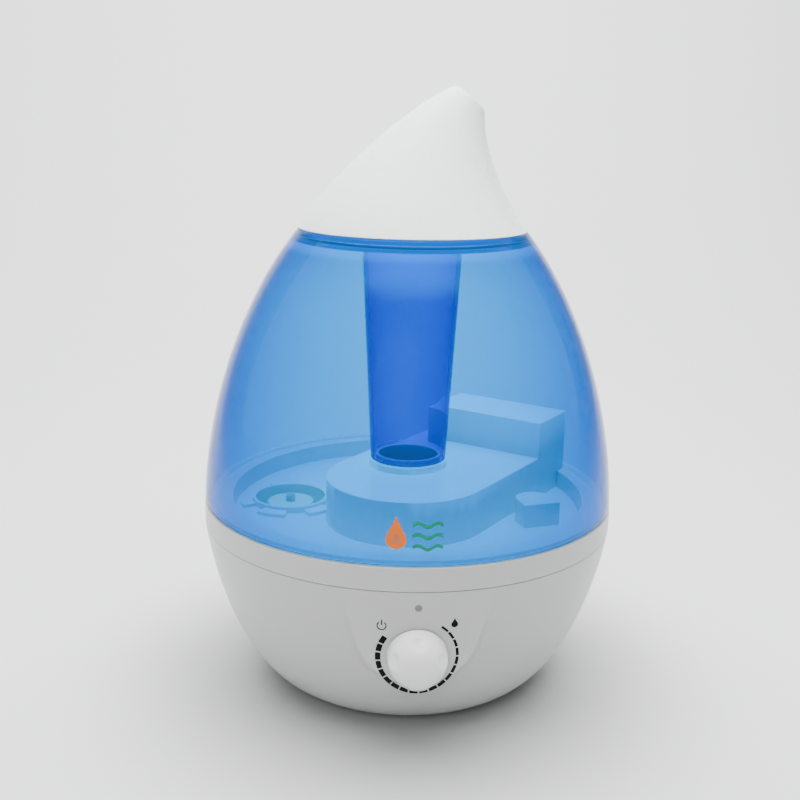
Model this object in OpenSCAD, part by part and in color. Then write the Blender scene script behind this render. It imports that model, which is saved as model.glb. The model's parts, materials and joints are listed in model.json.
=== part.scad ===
// Cool mist humidifier: translucent drop-shaped water tank on a round base,
// with a turning nozzle on top and one control knob at the front.
// Origin at the floor, under the middle of the overall box. +Z is up, the knob faces -Y.

/* [Overall size] */
// Largest diameter, at the seam between tank and base
body_d = 210; // [180:1:240]
// Height of the seam between tank and base above the floor
seam_z = 98; // [90:1:110]
// Height of the tank wall above that seam
tank_h = 136.5; // [120:0.5:150]
// Wall thickness of the moulded parts
wall = 2.4; // [2:0.1:3]

/* [Nozzle] */
// Radius of the nozzle where it meets the tank
neck_r = 57; // [50:0.5:62]
// Height of the upper edge of the mouth above the nozzle seam
nozzle_h = 68.7; // [50:0.1:80]
// Radius of the mouth, outside
mouth_r = 9; // [7:0.5:12]
// Sideways lean of the mouth centre from the axis
nozzle_lean = 26.8; // [10:0.1:32]

/* [Tank] */
// Height of the raised chamber above the tank floor
chamber_h = 22.5; // [18:1:30]
// Half width of the raised chamber and radius of its round end
chamber_r = 41; // [38:0.5:42]
// Height of the duct hood above the raised chamber
hood_h = 19.3; // [10:0.5:24]
// Direction of the chamber and its duct hood, seen from above
duct_angle = 54.5; // [50:1:65]
// Outer radius of the flue at its top
flue_top_r = 25.2; // [22:0.1:27]
// Outer radius of the flue at its foot
flue_foot_r = 19.5; // [18:0.1:20]

/* [Controls] */
// Height of the knob centre above the floor
knob_z = 54; // [50:0.5:60]
// Knob radius
knob_r = 14; // [12:0.5:16]
// Knob height, from the panel to its crown
knob_h = 14.5; // [10:0.5:16]
// Height of the indicator light above the floor
led_z = 78.5; // [74:0.5:82]

/* [View] */
// Sub-part to draw, or all

/* [Hidden] */
$fn = 96;
body_r = body_d / 2;
neck_z = seam_z + tank_h;
gap = 0.4;               // clearance between bodies that move apart
cut = 1;                 // overshoot of a cutting solid
part_z = 86;             // parting line between tray band and lower housing
cup_z = 2;               // underside of the lower housing
floor_z = 90;            // tank floor, top face
under_z = floor_z - wall;
rim_z = 98.8;            // top of the rim around the tank floor
deck_z = floor_z + chamber_h;
hood_z = deck_z + hood_h;
basin_z = 64;            // basin floor of the tray, top face
basin_u = basin_z - wall;
well_z = 52;             // underside of the transducer well
lid_z = neck_z - 4;      // floor of the recess in the tank's top
panel_z0 = 34;
panel_r0 = 100.8;        // panel cone radius at its lower edge
panel_tilt = atan((body_r - panel_r0) / (part_z - panel_z0));
knob_y = panel_r0 + (knob_z - panel_z0) * tan(panel_tilt);
led_y = panel_r0 + (led_z - panel_z0) * tan(panel_tilt);
axis_y = (knob_y + knob_h * cos(panel_tilt) - body_r) / 2;
chamber_x = -1.2;         // centre of the raised chamber's round end
chamber_y = -20.9;
flue_z = deck_z + 3.9;   // foot of the flue, on its collar and seal
cap_x = -61.5;           // filler opening in the tank floor
cap_y = 5;
float_x = 63.5;          // float post
float_y = -24;
screw_a = [5, 100, 178, 242, 298];   // housing screws around the base
screw_r = 72;
fan_u = 71.5;            // fan centre along and across the duct
fan_v = -5;
fan_z = 42;
fan_t = 12;
fan_s = 40;
gland_z = 24;
gland_y = 88;

white = [0.90, 0.92, 0.92];
blue = [0.16, 0.50, 0.86, 0.55];
pale = [0.62, 0.80, 0.90, 0.85];
steel = [0.72, 0.73, 0.75];
rubber = [0.16, 0.16, 0.17];
dark = [0.12, 0.13, 0.14];

// Cubic curve through four control points, and a run of points along it
function bez(p, t) = pow(1 - t, 3) * p[0] + 3 * pow(1 - t, 2) * t * p[1]
  + 3 * (1 - t) * t * t * p[2] + pow(t, 3) * p[3];
function run(p, n) = [for (i = [0:n]) bez(p, i / n)];
function back(v) = [for (i = [len(v) - 1:-1:0]) v[i]];

// Outer outlines: tank from the seam to the neck, housing from the parting line down
tank_out = [[body_r, seam_z + 0.3], [body_r - 1.7, seam_z + 0.326 * tank_h],
  [0.8305 * body_r, seam_z + 0.7253 * tank_h], [neck_r, neck_z]];
tank_in = [[body_r - wall, seam_z + 0.3], [body_r - 4.1, seam_z + 0.324 * tank_h],
  [0.8305 * body_r - 1.9, seam_z + 0.715 * tank_h], [neck_r + 0.2, neck_z - 4.1]];
cup_out = [[body_r - 0.1, part_z], [body_r - 5, 50.2], [0.787 * body_r, 6], [60, cup_z]];
cup_in = [[body_r - 2.9, part_z], [body_r - 7.6, 51.4], [0.787 * body_r - 2, 9.6], [59, 7.2]];

module centred() translate([0, axis_y, 0]) children();
module duct_frame() translate([chamber_x, chamber_y, 0]) rotate(duct_angle) children();
module at_knob() translate([0, -knob_y, knob_z]) rotate([90 + panel_tilt, 0, 0]) children();
module at_led() translate([0, -led_y, led_z]) rotate([90 + panel_tilt, 0, 0]) children();
module at_cap() translate([cap_x, cap_y, 0]) children();
module at_float() translate([float_x, float_y, 0]) children();
module at_fan() duct_frame() translate([fan_u, fan_v, 0]) children();
module rod(r, z0, z1) translate([0, 0, z0]) cylinder(r = r, h = z1 - z0);
module ring(ro, ri, z0, z1) difference() {
  rod(ro, z0, z1);
  rod(ri, z0 - cut, z1 + cut);
}
module box(x0, x1, y0, y1, z0, z1) translate([x0, y0, z0]) cube([x1 - x0, y1 - y0, z1 - z0]);
module around(n, r, a = 0) for (i = [0:n - 1]) rotate(a + i * 360 / n) translate([r, 0, 0]) children();
module arc_lug(ro, ri, span, z0, z1, $fn = 96) translate([0, 0, z0])
  rotate(-span / 2) rotate_extrude(angle = span) translate([ri, 0]) square([ro - ri, z1 - z0]);

// ---- Tank ----

module tank_shell() color(blue) centred() rotate_extrude($fn = 144)
  polygon(concat(run(tank_out, 20),
    [[neck_r - 2.2, neck_z], [53, neck_z - 1.6], [53, lid_z], [22.6, lid_z],
      [22.6, lid_z - wall], [54.4, lid_z - wall], [55.6, neck_z - 4.1]],
    back(run(tank_in, 20))));

// Long chamber with one round end, grown or shrunk by d
module chamber(d, z0, z1) duct_frame() {
  rod(chamber_r + d, z0, z1);
  box(0, 88 + d, -chamber_r - d, chamber_r + d, z0, z1);
}
module hood(d, z0, z1) duct_frame() box(66 - d, 100 + d, -chamber_r - d, 27 + d, z0, z1);
module float_pocket(r, z0, z1) at_float() rotate(16) {
  rod(r, z0, z1);
  box(-r, r, -r, 0, z0, z1);
}

module tank_bottom() color(pale) centred() difference() {
  union() {
    rotate_extrude($fn = 144) polygon([[0, under_z], [92.5, under_z], [93.2, 96.9], [102.2, 96.9],
      [102.2, 98], [98.2, 98], [98.2, rim_z], [90.8, rim_z], [90, floor_z], [0, floor_z]]);
    intersection() {
      union() {
        chamber(0, under_z, deck_z);
        hood(0, under_z, hood_z);
        float_pocket(9.5, under_z, 102);
      }
      union() {
        rod(91.5, under_z, rim_z);
        rod(96.5, rim_z - cut, hood_z);
      }
    }
    rod(20.3, deck_z - cut, flue_z - 0.5);
    rod(16.8, deck_z - cut, flue_z + 2.6);
    at_cap() rod(21, 77, under_z + cut);
    at_cap() rod(20, floor_z - cut, floor_z + 3.2);
    at_cap() for (a = [100, 190, 250, 310]) rotate(a) arc_lug(26.5, 19.5, 34, floor_z - cut, floor_z + 1.8);
    at_cap() for (a = [0, 120, 240]) rotate(a) arc_lug(22.5, 20.5, 34, 79.5, 81.5);
  }
  chamber(-wall, under_z - cut, deck_z - wall);
  intersection() {
    hood(-wall, under_z - cut, hood_z - wall);
    union() {
      rod(90 - 0.4, under_z - cut, rim_z + wall + cut);
      rod(96.5 - wall, rim_z + wall, hood_z);
    }
  }
  at_float() rod(5.8, under_z - cut, 99.6);
  rod(15.3, deck_z - wall - cut, flue_z + 5);
  at_cap() rod(18.2, 75, floor_z + 5);
}

module flue_tube() color([0.10, 0.42, 0.82, 0.6]) centred() difference() {
  translate([0, 0, flue_z]) cylinder(r1 = flue_foot_r, r2 = flue_top_r, h = lid_z - wall - flue_z);
  translate([0, 0, flue_z - 0.01])
    cylinder(r1 = flue_foot_r - 2.2, r2 = flue_top_r - 2.2, h = lid_z - wall - flue_z + 0.02);
}

module flue_seal() color(rubber) centred() ring(19.3, 17.2, flue_z - 0.5, flue_z);

module tank_seal() color(rubber) centred() ring(102.1, 98.5, 98.05, 99.9);

// ---- Filler cap and its valve ----

module cap_gasket() color([0.75, 0.75, 0.72]) centred() at_cap() ring(21.3, 18.6, 76.25, 76.95);

module filler_cap() color([0.66, 0.74, 0.70]) centred() at_cap() {
  difference() {
    union() {
      rod(25, 74, 85.2);
      around(24, 25) rod(0.8, 75, 84.4, $fn = 24);
    }
    rod(22.9, 76.2, 86.2);
    rod(6, 73, 77);
  }
  for (a = [98, 218, 338]) rotate(a) arc_lug(23.2, 21.4, 26, 82.1, 84.1);
  around(3, 10.5, 30) rod(1.4, 76, 89);
  ring(12, 2.8, 88.5, 90.2);
}

module valve_stem() color([0.85, 0.88, 0.86]) centred() at_cap() {
  rod(2.4, 75.8, 93.2);
  rod(8.4, 80.55, 82.55);
}

module valve_seal() color(rubber) centred() at_cap() ring(8, 2.45, 79.35, 80.5);

// Round wire wound round the stem
coil_r = 4.6;
wire_r = 0.45;
turns = 4;
steps = 16;
sides = 8;
module valve_spring() color(steel) centred() at_cap() translate([0, 0, 83.1]) polyhedron(
  points = [for (i = [0:turns * steps]) for (j = [0:sides - 1])
    let (a = 360 * i / steps, b = 360 * j / sides, r = coil_r + wire_r * cos(b))
    [r * cos(a), r * sin(a), 4.8 * i / (turns * steps) + wire_r * sin(b)]],
  faces = concat([[for (j = [0:sides - 1]) j]],
    [for (i = [0:turns * steps - 1]) for (j = [0:sides - 1])
      let (k = (j + 1) % sides, m = i * sides, n = (i + 1) * sides) [m + j, n + j, n + k, m + k]],
    [[for (j = [sides - 1:-1:0]) turns * steps * sides + j]]));

// ---- Nozzle ----

module mist_guide() color(white) centred() difference() {
  union() {
    rod(49.4, lid_z + 0.3, lid_z + 2.5);
    rod(22, lid_z - 8, lid_z + 6);
    ring(47, 45, lid_z + 2, lid_z + 5);
  }
  rod(20.2, lid_z - 9, lid_z + 7);
  around(12, 36) rod(4, lid_z - cut, lid_z + 4, $fn = 48);
}

// Leaning drop: each ring spans a left and a right outline and turns from level to the mouth plane
nozzle_z = neck_z + 0.5;
left_side = [[-neck_r, 0], [-0.8 * neck_r, 21.3], [1, nozzle_h - 5.5], [nozzle_lean - 0.77 * mouth_r, nozzle_h]];
right_side = [[neck_r, 0], [44, 15.8], [33, 39.6],
  [nozzle_lean + 0.77 * mouth_r, nozzle_h - 1.28 * mouth_r]];
rows = 26;
cols = 64;
function drop_ring(t, d) = let (l = bez(left_side, t), r = bez(right_side, t), m = (l + r) / 2, h = norm(r - l) / 2,
  e = (r - l) / (2 * h)) [for (j = [0:cols - 1]) let (a = 360 * j / cols)
    [m[0] + (h - d) * cos(a) * e[0], (h - d) * sin(a), m[1] + (h - d) * cos(a) * e[1]]];
function band(s, flip) = [for (i = [0:rows - 1]) for (j = [0:cols - 1])
  let (k = (j + 1) % cols, m = s + i * cols, n = m + cols)
  flip ? [m + j, m + k, n + k, n + j] : [m + j, n + j, n + k, m + k]];
module nozzle_skin() translate([0, 0, nozzle_z]) polyhedron(
  points = concat([for (i = [0:rows]) each drop_ring(i / rows, 0)],
    [for (i = [0:rows]) each drop_ring(i / rows, 2.2)]),
  faces = let (s = (rows + 1) * cols, top = rows * cols) concat(
    band(0, false), band(s, true),
    [for (j = [0:cols - 1]) let (k = (j + 1) % cols) [j, k, s + k, s + j]],
    [for (j = [0:cols - 1]) let (k = (j + 1) % cols) [top + j, s + top + j, s + top + k, top + k]]));

module nozzle_shell() color(white) centred() {
  nozzle_skin();
  ring(52, 49.8, lid_z + 0.7, nozzle_z + 1, $fn = 64);
  ring(55, 49.8, nozzle_z, nozzle_z + 1.8, $fn = 64);
}

// ---- Base ----

module base_tray() color(white) centred() difference() {
  union() {
    rotate_extrude($fn = 144) polygon([[0, basin_u], [84.8, basin_u], [88.2, 64.6], [95.4, 85.6],
      [95.6, 94.1], [body_r - wall, 94.1], [body_r - wall, part_z + gap], [body_r, part_z + gap],
      [body_r, 97.2], [body_r - 0.7, 97.9], [102.6, 97.9], [102.6, 96.5], [93.6, 96.5],
      [93.6, 88], [86, 66], [84, basin_z], [0, basin_z]]);
    rod(28.4, well_z, basin_z - cut);
    around(3, 17, 30) rod(3.2, 48.6, well_z + cut, $fn = 48);
    duct_frame() box(70.5, 85.5, -23, 13, basin_u, 126);
    at_float() rod(3, basin_u, 96, $fn = 48);
    at_cap() rod(2.4, basin_u, 75.5, $fn = 48);
    at_cap() rod(6, basin_u, 66, $fn = 48);
    for (a = screw_a) rotate(a) translate([screw_r, 0, 0]) rod(4.5, 55, basin_u + cut, $fn = 48);
    at_fan() around(4, 16 * sqrt(2), 45) rod(3, 54.4, basin_u + cut, $fn = 48);
  }
  rod(26, well_z + wall, basin_z + cut);
  rod(10.6, well_z - cut, basin_z);
  around(3, 17, 30) rod(1.3, 48, well_z + 1, $fn = 32);
  duct_frame() box(72.5, 83.5, -21, 11, basin_u - cut, 124);
  duct_frame() box(69, 73, -19, 9, 104, 120);
  at_float() rod(1.8, basin_u - cut, 92, $fn = 32);
  for (a = screw_a) rotate(a) translate([screw_r, 0, 0]) rod(1.3, 54, 60.6, $fn = 32);
  at_fan() around(4, 16 * sqrt(2), 45) rod(1.55, 54, 60.6, $fn = 32);
}

module cup_solid(curve, d = 0) rotate_extrude($fn = 144)
  polygon(concat([for (p = run(curve, 20)) [p[0] + d, p[1]]], [[0, curve[3][1]], [0, part_z]]));

module lower_housing() color(white) centred() difference() {
  union() {
    rotate_extrude($fn = 144) polygon(concat(run(cup_out, 20),
      [[58, cup_z], [58, 4.7], [48, 4.7], [48, 7.2]], back(run(cup_in, 20)),
      [[100, 88], [100, 92], [102.2, 92], [102.2, part_z]]));
    intersection() {
      for (a = screw_a) rotate(a) translate([screw_r, 0, 0]) rod(5, 3, 54.6, $fn = 48);
      cup_solid(cup_out, -1);
    }
    around(4, 53, 45) rod(3.4, 4.7, 12, $fn = 48);
    translate([0, 72, gland_z]) rotate([-90, 0, 0]) rod(9.5, 0, gland_y - 72);
  }
  for (a = screw_a) rotate(a) translate([screw_r, 0, 0]) {
    rod(3.4, 0, 48, $fn = 48);
    rod(1.7, 40, 60, $fn = 32);
  }
  around(4, 53, 45) rod(1.3, 4, 10.5, $fn = 32);
  translate([0, 60, gland_z]) rotate([-90, 0, 0]) rod(5, 0, 40);
  translate([0, gland_y, gland_z]) rotate([-90, 0, 0]) rod(7.9, 0, 20);
  intersection() {
    apron(0.1);
    box(-40, 40, -body_r - 1, -80, 0, part_z + cut);
  }
}

// Raised apron behind the knob: a shallow cone cut to a shield outline
module shield(d) rotate([90, 0, 0]) linear_extrude(height = 120) {
  translate([0, 64.5]) circle(r = 30.5 + d);
  polygon([[-30 - d, 58.9], [30 + d, 58.9], [35 + d, part_z], [-35 - d, part_z]]);
}
module apron(d) intersection() {
  translate([0, 0, panel_z0 - 2]) cylinder(r1 = panel_r0 - 2 * tan(panel_tilt) + d, r2 = body_r + d,
    h = part_z - panel_z0 + 2, $fn = 144);
  shield(d);
}
module control_panel() color(white) centred() difference() {
  apron(0);
  difference() {
    apron(-wall);
    at_knob() rod(11, -wall - 2.5, cut);
  }
  cup_solid(cup_in);
  at_knob() rod(4.2, -20, 5);
  at_knob() rod(9, -30, -wall);
  at_led() rod(1.8, -20, 5, $fn = 32);
}

module bottom_cover() color(white) centred() difference() {
  union() {
    rod(57.6, cup_z, 4.5);
    for (p = [[-40, -20], [-40, 20], [-12, -20], [-12, 20]]) translate(p) rod(3, 4, 18, $fn = 48);
    for (p = [[6, -12], [38, -12]]) translate(p) rod(3, 4, 7, $fn = 48);
  }
  around(20, 24, 9) box(-8, 10, -1.2, 1.2, cup_z - cut, 4.6);
  around(4, 53, 45) rod(1.7, 0, 6, $fn = 32);
  around(4, 53, 45) rod(3.1, 0, 3.4, $fn = 48);
  around(4, 44) rod(6.1, 0, 3, $fn = 48);
  for (p = [[-40, -20], [-40, 20], [-12, -20], [-12, 20]]) translate(p) rod(1.2, 8, 19, $fn = 32);
}

// Round-head screw pointing up: head from z0 to z1, shank on to z2
module screw(rh, rs, z0, z1, z2) {
  difference() {
    rod(rh, z0, z1, $fn = 48);
    for (a = [0, 90]) rotate(a) box(-0.6 * rh, 0.6 * rh, -0.35, 0.35, z0 - cut, z0 + 0.8);
  }
  rod(rs, z1 - 0.1, z2, $fn = 32);
}

module cover_screws() color(steel) centred() around(4, 53, 45) screw(2.8, 1.2, 2.2, 3.35, 10);

module housing_screws() color(steel) centred()
  for (a = screw_a) rotate(a) translate([screw_r, 0, 0]) screw(3, 1.25, 45.9, 47.95, 60);

module rubber_feet() color(rubber) centred() around(4, 44) rod(6, 0, 2.95, $fn = 48);

module cord_gland() color(rubber) centred() translate([0, 0, gland_z]) rotate([-90, 0, 0]) difference() {
  union() {
    rod(4.9, gland_y - 17, gland_y + 2);
    rod(7.5, gland_y + 0.05, gland_y + 2.5);
    rod(6.4, gland_y - 18.5, gland_y - 16.05);
  }
  rod(3.25, gland_y - 20, gland_y + 4, $fn = 64);
}

// ---- Mist maker ----

module transducer_disc() color([0.80, 0.72, 0.45]) centred() rod(10.5, 49.7, 50.9);

module transducer_seal() color(rubber) centred() rotate_extrude() polygon([[9, 48.6], [13, 48.6], [13, 51.9],
  [9, 51.9], [9, 50.95], [10.55, 50.95], [10.55, 49.65], [9, 49.65]]);

module transducer_clamp() color(steel) centred() difference() {
  union() {
    rod(21, 46.9, 48.5);
    rod(15, 48, 51);
  }
  rod(13.2, 48.5, 52);
  rod(8, 46, 50);
  around(3, 17, 30) rod(1.5, 46, 49, $fn = 32);
  around(3, 17, 30) rod(3.4, 48.5, 52, $fn = 48);
}

module transducer_screws() color(steel) centred() around(3, 17, 30) screw(2.6, 1.2, 44.9, 46.85, 52.6);

// ---- Fan ----

module fan_frame() color(dark) centred() at_fan() difference() {
  union() {
    difference() {
      box(-fan_s / 2, fan_s / 2, -fan_s / 2, fan_s / 2, fan_z, fan_z + fan_t);
      rod(18.8, fan_z - cut, fan_z + fan_t + cut);
    }
    rod(9.5, fan_z, fan_z + 2.5);
    around(3, 0, 90) box(8, 19.5, -1.3, 1.3, fan_z, fan_z + 2);
  }
  rod(1.55, fan_z - cut, fan_z + 4, $fn = 32);
  around(4, 16 * sqrt(2), 45) rod(2.1, fan_z - cut, fan_z + fan_t + cut, $fn = 32);
}

module fan_rotor() color([0.2, 0.21, 0.22]) centred() at_fan() {
  rod(9, fan_z + 3, fan_z + fan_t - 1);
  rod(1.5, fan_z + 0.3, fan_z + 4, $fn = 32);
  intersection() {
    around(7, 13.3) translate([0, 0, fan_z + fan_t / 2]) rotate([38, 0, 0])
      box(-5.2, 5.2, -0.5, 0.5, -fan_t, fan_t);
    ring(18.3, 8, fan_z + 3.4, fan_z + fan_t - 1.6);
  }
}

module fan_screws() color(steel) centred() at_fan()
  around(4, 16 * sqrt(2), 45) screw(2.7, 1.5, fan_z - 2.1, fan_z - 0.05, 60);

module air_duct() color(white) centred() at_fan() difference() {
  box(-fan_s / 2, fan_s / 2, -fan_s / 2, fan_s / 2, fan_z + fan_t + 0.2, basin_u - 0.2);
  box(-fan_s / 2 + 0.8, fan_s / 2 - 0.8, -fan_s / 2 + 0.8, fan_s / 2 - 0.8, fan_z, basin_z);
}

// ---- Electronics ----

board_z = 18.1;
module main_board() color([0.10, 0.36, 0.20]) centred() difference() {
  box(-45, -7, -26, 26, board_z, board_z + 1.6);
  for (p = [[-40, -20], [-40, 20], [-12, -20], [-12, 20]]) translate(p) rod(1.5, 17, 21, $fn = 32);
}
module board_parts() color([0.15, 0.16, 0.20]) centred() {
  for (p = [[-36, -8, 4.2, 14], [-26, -17, 3.2, 11], [-36, 5, 5, 15], [-18, -8, 2.5, 8]])
    translate([p[0], p[1], 0]) rod(p[2], board_z + 1.65, board_z + p[3], $fn = 48);
  box(-28, -18, 0, 11, board_z + 1.65, board_z + 9);
  box(-16, -9, -3, 12, board_z + 1.65, board_z + 8);
}
module heat_sink() color(steel) centred() translate([-34, 21, board_z + 1.65]) {
  box(0, 18, 0, 2, 0, 20);
  for (i = [0:4]) box(i * 4, i * 4 + 1.6, -6, 0.5, 0, 20);
}
module board_screws() color(steel) centred() for (p = [[-40, -20], [-40, 20], [-12, -20], [-12, 20]])
  translate(p) mirror([0, 0, 1]) screw(2.4, 1.1, -board_z - 3.4, -board_z - 1.65, -9);

module transformer_core() color([0.45, 0.45, 0.47]) centred() difference() {
  box(7, 37, -25, 1, 7.1, 33);
  box(12, 18, -26, 2, 12, 28);
  box(26, 32, -26, 2, 12, 28);
}
module transformer_coil() color([0.80, 0.62, 0.20]) centred() difference() {
  box(12.2, 31.8, -29, 5, 12.2, 27.8);
  box(17.8, 26.2, -25.2, 1.2, 11, 29);
}

module potentiometer() color([0.3, 0.35, 0.42]) centred() at_knob() difference() {
  union() {
    rod(8.4, -12.6, -3);
    rod(4, -3.5, 3.2, $fn = 64);
    box(-6, 6, -12, -7, -11, -9.5);
  }
  rod(3.05, -8, 5, $fn = 64);
}
module pot_nut() color(steel) centred() at_knob() difference() {
  rod(6, 0.15, 2.2, $fn = 6);
  rod(4.05, -1, 3, $fn = 64);
}
module pot_shaft() color(steel) centred() at_knob() difference() {
  rod(3, -7.5, 10.5, $fn = 64);
  box(1.5, 4, -4, 4, 4, 12);
}
knob_side = [[knob_r, 0.5], [knob_r, 9], [knob_r * 0.72, knob_h - 0.2], [0, knob_h]];
module knob() color([0.95, 0.96, 0.97]) centred() at_knob() difference() {
  rotate_extrude() polygon(concat([[0, 0.5]], run(knob_side, 16)));
  around(5, 18.8, 18) translate([0, 0, 13.5]) sphere(r = 9.5);
  rotate_extrude() polygon([[6.6, 0], [12, 0], [12, 5.5], [6.6, 7]]);
  difference() {
    rod(3.02, 3.6, 10.6, $fn = 64);
    box(1.55, 4, -4, 4, 4, 12);
  }
  rod(7.4, 0, 3.6);
}

module led() color([0.9, 0.95, 1]) centred() at_led() {
  rod(1.5, -7.2, -2.4, $fn = 32);
  rod(2.2, -8.4, -7.1, $fn = 32);
}
module led_lens() color([0.62, 0.64, 0.66]) centred() at_led() {
  rod(1.7, -2.3, 0.3, $fn = 32);
}

// ---- Float switch ----

module float_ring() color([0.92, 0.92, 0.88]) centred() at_float() difference() {
  rod(11, 64.4, 76.4);
  rod(3.4, 64, 77);
  ring(9, 6, 64, 68.1);
}
module float_magnet() color([0.25, 0.25, 0.27]) centred() at_float() ring(8.9, 6.1, 64.6, 68);
module reed_switch() color([0.75, 0.85, 0.8]) centred() at_float() rod(1.6, 58, 78, $fn = 32);

tank_shell();
tank_bottom();
flue_tube();
flue_seal();
tank_seal();
cap_gasket();
filler_cap();
valve_stem();
valve_seal();
valve_spring();
mist_guide();
nozzle_shell();
base_tray();
lower_housing();
control_panel();
bottom_cover();
cover_screws();
housing_screws();
rubber_feet();
cord_gland();
transducer_disc();
transducer_seal();
transducer_clamp();
transducer_screws();
fan_frame();
fan_rotor();
fan_screws();
air_duct();
main_board();
board_parts();
heat_sink();
board_screws();
transformer_core();
transformer_coil();
potentiometer();
pot_nut();
pot_shaft();
knob();
led();
led_lens();
float_ring();
float_magnet();
reed_switch();
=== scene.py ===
import json
import math

import bmesh
import bpy
import numpy as np
from mathutils import Matrix, Vector


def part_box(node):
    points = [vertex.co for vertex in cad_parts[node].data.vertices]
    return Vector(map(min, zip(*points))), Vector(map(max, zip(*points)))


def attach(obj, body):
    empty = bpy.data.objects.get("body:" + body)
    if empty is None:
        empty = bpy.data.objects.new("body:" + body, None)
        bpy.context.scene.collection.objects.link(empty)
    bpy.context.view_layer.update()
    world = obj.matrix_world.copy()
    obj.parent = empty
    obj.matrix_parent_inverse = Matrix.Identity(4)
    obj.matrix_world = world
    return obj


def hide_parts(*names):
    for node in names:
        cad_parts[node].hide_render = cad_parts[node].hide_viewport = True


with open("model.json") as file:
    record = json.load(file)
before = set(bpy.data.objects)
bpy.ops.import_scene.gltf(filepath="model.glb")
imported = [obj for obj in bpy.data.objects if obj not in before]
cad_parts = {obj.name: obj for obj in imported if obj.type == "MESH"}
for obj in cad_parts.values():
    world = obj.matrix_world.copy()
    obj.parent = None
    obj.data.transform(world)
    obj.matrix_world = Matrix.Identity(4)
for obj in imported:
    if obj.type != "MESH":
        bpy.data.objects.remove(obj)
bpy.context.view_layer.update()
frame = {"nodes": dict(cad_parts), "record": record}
record = frame["record"]
joints = {j["name"]: j for j in record["behaviour"]["joints"]}

MM = 0.001
AXIS_Y = joints["nozzle_turn"]["pos_m"][1]     # the body's own axis, in metres


def box_mm(node):
    """The low and the high corner of a CAD node's box, in millimetres."""
    return [[c / MM for c in corner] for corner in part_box(node)]


# Driving dimensions, in millimetres
(_, _, tank_low), (_, _, NECK_Z) = box_mm("tank_shell")
(tray_left, _, _), (tray_right, _, _) = box_mm("base_tray")
SEAM_GAP = 0.3                                 # between the base's band and the tank's wall
SEAM_Z = tank_low - SEAM_GAP
BODY_R = round((tray_right - tray_left) / 2)
TANK_H = NECK_Z - SEAM_Z
NECK_R = 57.0
WALL = 2.4
LID_Z = NECK_Z - 4.0                           # top of the tank's sunk lid
PART_Z = 86.0                                  # where the housing meets the tray's band


# ---- Materials ----

def new_material(name):
    mat = bpy.data.materials.new(name)
    mat.use_nodes = True
    tree = mat.node_tree
    tree.nodes.clear()
    out = tree.nodes.new("ShaderNodeOutputMaterial")
    bsdf = tree.nodes.new("ShaderNodeBsdfPrincipled")
    tree.links.new(bsdf.outputs[0], out.inputs["Surface"])
    return mat, tree, bsdf, out


def coords(tree, scale=(1, 1, 1)):
    tc = tree.nodes.new("ShaderNodeTexCoord")
    mp = tree.nodes.new("ShaderNodeMapping")
    mp.inputs["Scale"].default_value = scale
    tree.links.new(tc.outputs["Object"], mp.inputs["Vector"])
    return mp.outputs["Vector"]


def noise_fac(tree, vec, scale, detail=3.0):
    n = tree.nodes.new("ShaderNodeTexNoise")
    n.inputs["Scale"].default_value = scale
    n.inputs["Detail"].default_value = detail
    tree.links.new(vec, n.inputs["Vector"])
    return n.outputs["Fac"]


def mapped(tree, fac, lo, hi, start=0.0, end=1.0, curve="LINEAR"):
    """Values from start to end become lo to hi, and stay there beyond."""
    m = tree.nodes.new("ShaderNodeMapRange")
    m.interpolation_type = curve
    m.inputs["From Min"].default_value = start
    m.inputs["From Max"].default_value = end
    m.inputs["To Min"].default_value = lo
    m.inputs["To Max"].default_value = hi
    tree.links.new(fac, m.inputs["Value"])
    return m.outputs["Result"]


def axis_of(tree, vec, axis):
    split = tree.nodes.new("ShaderNodeSeparateXYZ")
    tree.links.new(vec, split.inputs[0])
    return split.outputs[axis]


def math_node(tree, operation, *sockets):
    m = tree.nodes.new("ShaderNodeMath")
    m.operation = operation
    for socket, value in zip(m.inputs, sockets):
        if isinstance(value, float):
            socket.default_value = value
        else:
            tree.links.new(value, socket)
    return m.outputs[0]


def up_and_height(tree):
    """How far a face looks up (-1 to 1) and how high it sits, in metres."""
    geo = tree.nodes.new("ShaderNodeNewGeometry")
    return [axis_of(tree, geo.outputs[name], "Z") for name in ("Normal", "Position")]


def two_tone(tree, fac, a, b):
    m = tree.nodes.new("ShaderNodeMix")
    m.data_type = "RGBA"
    m.inputs[6].default_value = (*a, 1)
    m.inputs[7].default_value = (*b, 1)
    tree.links.new(fac, m.inputs[0])
    return m.outputs[2]


def add_bump(tree, bsdf, fac, strength, distance):
    b = tree.nodes.new("ShaderNodeBump")
    b.inputs["Strength"].default_value = strength
    b.inputs["Distance"].default_value = distance
    tree.links.new(fac, b.inputs["Height"])
    tree.links.new(b.outputs["Normal"], bsdf.inputs["Normal"])


FLOOR_Z, RAISED_Z = 0.105, 0.135      # the tank's floor and what stands on it, in metres
EDGE_STOPS = (0.35, 0.8)              # rounded edges, which get a painted highlight, lie between these two values of the ramp
FLOOR_STOP = 0.9


def add_painted_light(tree, bsdf, upright, edge, floor, top):
    """Painted light and shade given off as emission, by how far a face looks up and how high it sits: upright
    faces, rounded edges (a painted highlight), the low floor and higher tops each get their own shade.
    """
    facing, height = up_and_height(tree)
    lift = mapped(tree, height, FLOOR_STOP - 1.0, 0.21, FLOOR_Z, RAISED_Z)
    ramp = tree.nodes.new("ShaderNodeValToRGB")
    for place_on_ramp in (*EDGE_STOPS, FLOOR_STOP):
        ramp.color_ramp.elements.new(place_on_ramp)
    for stop, shade in zip(ramp.color_ramp.elements, (upright, edge, edge, floor, top)):
        stop.color = (*shade, 1)
    tree.links.new(math_node(tree, "ADD", facing, lift), ramp.inputs[0])
    tree.links.new(ramp.outputs[0], bsdf.inputs["Emission Color"])
    bsdf.inputs["Emission Strength"].default_value = 1.0


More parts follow.
